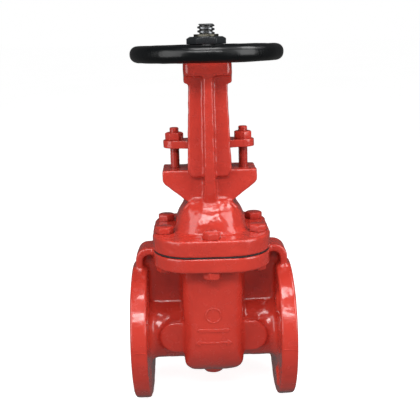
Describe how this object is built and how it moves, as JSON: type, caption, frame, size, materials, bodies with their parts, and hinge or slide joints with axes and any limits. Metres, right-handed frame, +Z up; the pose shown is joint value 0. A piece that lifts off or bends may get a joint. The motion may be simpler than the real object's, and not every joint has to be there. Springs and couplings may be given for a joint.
{
  "type": "gate valve",
  "caption": "Flanged outside-screw-and-yoke gate valve with a rising threaded stem, bolted bonnet, gland packing and a spoked handwheel that lifts the wedge.",
  "frame": {"origin": "centre of the inlet flange's raised face, on the pipe axis", "axes": "+X along the pipe towards the outlet, +Z up the stem towards the handwheel, +Y towards the back of the yoke"},
  "size_m": [0.1778, 0.16, 0.4094],
  "materials": {
    "body_paint": "semi-gloss red enamel on sand-cast ductile iron",
    "bonnet_paint": "semi-gloss red enamel on sand-cast ductile iron",
    "fastener_paint": "red enamel over steel fasteners",
    "wheel_enamel": "gloss black enamel on cast iron",
    "bronze": "machined bronze",
    "stem_steel": "turned stainless steel with a trapezoidal thread",
    "bearing_steel": "turned steel",
    "wedge_iron": "bare sand-cast iron",
    "gasket": "dark graphite and rubber sheet",
    "packing": "braided graphite packing"
  },
  "bodies": {
    "casing": {"valve_body": "body_paint", "seat_ring_inlet": "bronze", "seat_ring_outlet": "bronze", "bonnet_gasket": "gasket", "bonnet": "bonnet_paint", "bonnet_bolts": "fastener_paint", "bonnet_nuts": "fastener_paint", "backseat_bushing": "bronze", "packing_base_ring": "bronze", "packing_rings": "packing", "gland_follower": "bronze", "gland_flange": "bonnet_paint", "gland_studs": "fastener_paint", "gland_nuts": "fastener_paint", "thrust_washer_lower": "bearing_steel", "thrust_washer_upper": "bearing_steel", "yoke_cap": "bearing_steel"},
    "wheel_set": {"yoke_sleeve": "bronze", "handwheel": "wheel_enamel", "wheel_key": "bearing_steel", "wheel_nut": "wheel_enamel"},
    "stem_set": {"stem": "stem_steel", "wedge": "wedge_iron", "wedge_facing_inlet": "bronze", "wedge_facing_outlet": "bronze"}
  },
  "joints": [
    {"name": "wheel_turn", "type": "hinge", "parent": "casing", "child": "wheel_set", "pos_m": [0.0889, 0, 0.3048], "axis": [0, 0, 1], "range_deg": [0, 5130]},
    {"name": "stem_lift", "type": "slide", "parent": "casing", "child": "stem_set", "axis": [0, 0, 1], "range_m": [0, 0.057]}
  ],
  "couplings": [
    {"joint": "stem_lift", "follows": "wheel_turn", "m_per_rad": 0.0006366}
  ]
}
